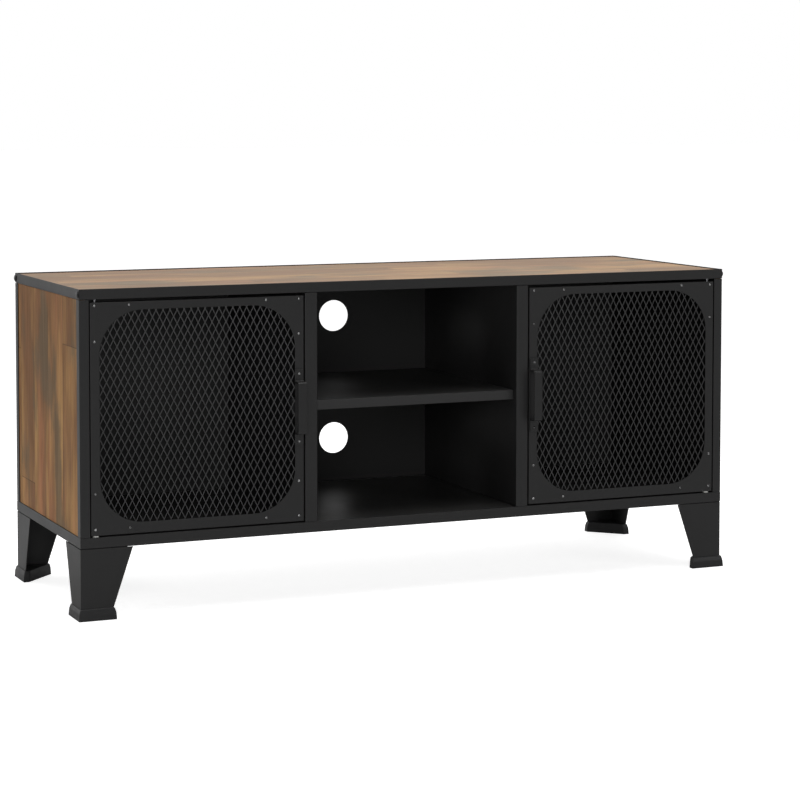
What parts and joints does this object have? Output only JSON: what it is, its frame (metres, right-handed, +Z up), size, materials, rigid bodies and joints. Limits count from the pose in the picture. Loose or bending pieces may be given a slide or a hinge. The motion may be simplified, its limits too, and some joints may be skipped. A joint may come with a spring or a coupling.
{
  "type": "tv stand with doors",
  "caption": "Low rectangular TV stand: steel angle frame with wood boards, a hinged mesh door each side, open middle bay with shelf, sheet legs in flared feet.",
  "frame": {"origin": "on the floor, under the middle of the bounding box, the door pulls included", "axes": "+X along the width to the right as seen from the front, the doors face -Y, +Z up"},
  "size_m": [1.05, 0.372, 0.47],
  "materials": {
    "oak_top": "satin rustic oak decor on board",
    "oak_side": "satin rustic oak decor on board",
    "black_board": "semi-gloss black laminate on board",
    "black_steel": "satin black powder coat",
    "black_mesh": "satin black powder coat on expanded metal",
    "black_plastic": "moulded black plastic",
    "nylon": "natural nylon",
    "zinc": "bright zinc plated steel",
    "black_screw": "black oxide steel"
  },
  "bodies": {
    "cabinet": {"top_board": "oak_top", "side_panel_left": "oak_side", "side_panel_right": "oak_side", "base_board": "black_board", "top_rail_front": "black_steel", "top_rail_rear": "black_steel", "top_rail_left": "black_steel", "top_rail_right": "black_steel", "base_rail_front": "black_steel", "base_rail_rear": "black_steel", "base_rail_left": "black_steel", "base_rail_right": "black_steel", "post_front_left": "black_steel", "post_front_right": "black_steel", "post_rear_left": "black_steel", "post_rear_right": "black_steel", "divider_left": "black_steel", "divider_right": "black_steel", "back_panel": "black_steel", "shelf": "black_steel", "shelf_bracket_left": "black_steel", "shelf_bracket_right": "black_steel", "leg_front_left": "black_steel", "leg_front_right": "black_steel", "leg_rear_left": "black_steel", "leg_rear_right": "black_steel", "foot_front_left": "black_plastic", "foot_front_right": "black_plastic", "foot_rear_left": "black_plastic", "foot_rear_right": "black_plastic", "corner_screw_front_left": "black_screw", "corner_screw_front_right": "black_screw", "corner_screw_rear_left": "black_screw", "corner_screw_rear_right": "black_screw", "leg_bolt_front_left_1": "black_screw", "leg_bolt_front_left_2": "black_screw", "leg_bolt_front_right_1": "black_screw", "leg_bolt_front_right_2": "black_screw", "leg_bolt_rear_left_1": "black_screw", "leg_bolt_rear_left_2": "black_screw", "leg_bolt_rear_right_1": "black_screw", "leg_bolt_rear_right_2": "black_screw", "hinge_pin_top_left": "zinc", "hinge_pin_bottom_left": "zinc", "hinge_washer_left": "nylon", "magnet_catch_left": "black_plastic", "hinge_pin_top_right": "zinc", "hinge_pin_bottom_right": "zinc", "hinge_washer_right": "nylon", "magnet_catch_right": "black_plastic"},
    "left_door": {"door_frame_left": "black_steel", "door_mesh_left": "black_mesh", "door_pull_left": "black_steel"},
    "right_door": {"door_frame_right": "black_steel", "door_mesh_right": "black_mesh", "door_pull_right": "black_steel"}
  },
  "joints": [
    {"name": "left_door_hinge", "type": "hinge", "parent": "cabinet", "child": "left_door", "pos_m": [-0.497, -0.16345, 0.2856], "axis": [0, 0, -1], "range_deg": [0, 105]},
    {"name": "right_door_hinge", "type": "hinge", "parent": "cabinet", "child": "right_door", "pos_m": [0.497, -0.16345, 0.2856], "axis": [0, 0, 1], "range_deg": [0, 105]}
  ]
}
